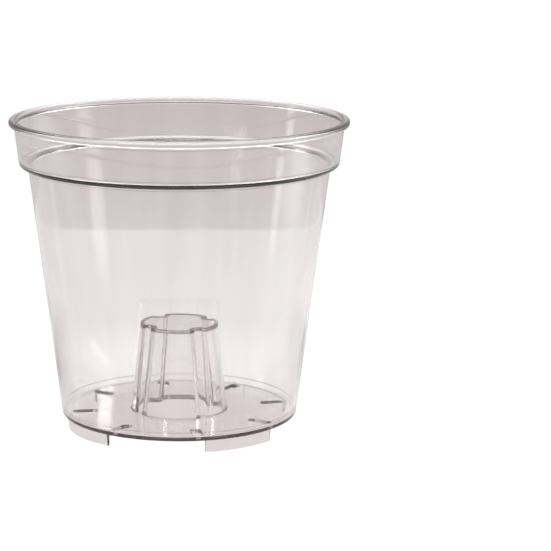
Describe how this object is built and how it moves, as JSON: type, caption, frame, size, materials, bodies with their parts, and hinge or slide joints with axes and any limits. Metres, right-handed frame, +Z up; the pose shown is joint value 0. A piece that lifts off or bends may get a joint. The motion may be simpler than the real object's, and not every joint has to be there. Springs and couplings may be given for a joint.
{
  "type": "orchid pot",
  "caption": "Clear tapered orchid pot with a stacking collar, a slotted floor on curved feet and a hollow central air tower.",
  "frame": {"origin": "middle of the circle that the feet stand on, on the surface under the pot", "axes": "+Z up along the pot's axis to the mouth, +X through the middle of one drainage slot"},
  "size_m": [0.12, 0.12, 0.1108],
  "materials": {
    "clear_plastic": "clear, glossy injection-moulded plastic with a faint grey-pink tint"
  },
  "bodies": {
    "root": {"rim_lip": "clear_plastic", "collar_band": "clear_plastic", "collar_ledge": "clear_plastic", "body_wall": "clear_plastic", "base_heel": "clear_plastic", "base_floor": "clear_plastic", "tower_wall": "clear_plastic", "tower_cap": "clear_plastic", "foot_1": "clear_plastic", "foot_2": "clear_plastic", "foot_3": "clear_plastic", "foot_4": "clear_plastic"}
  },
  "joints": []
}
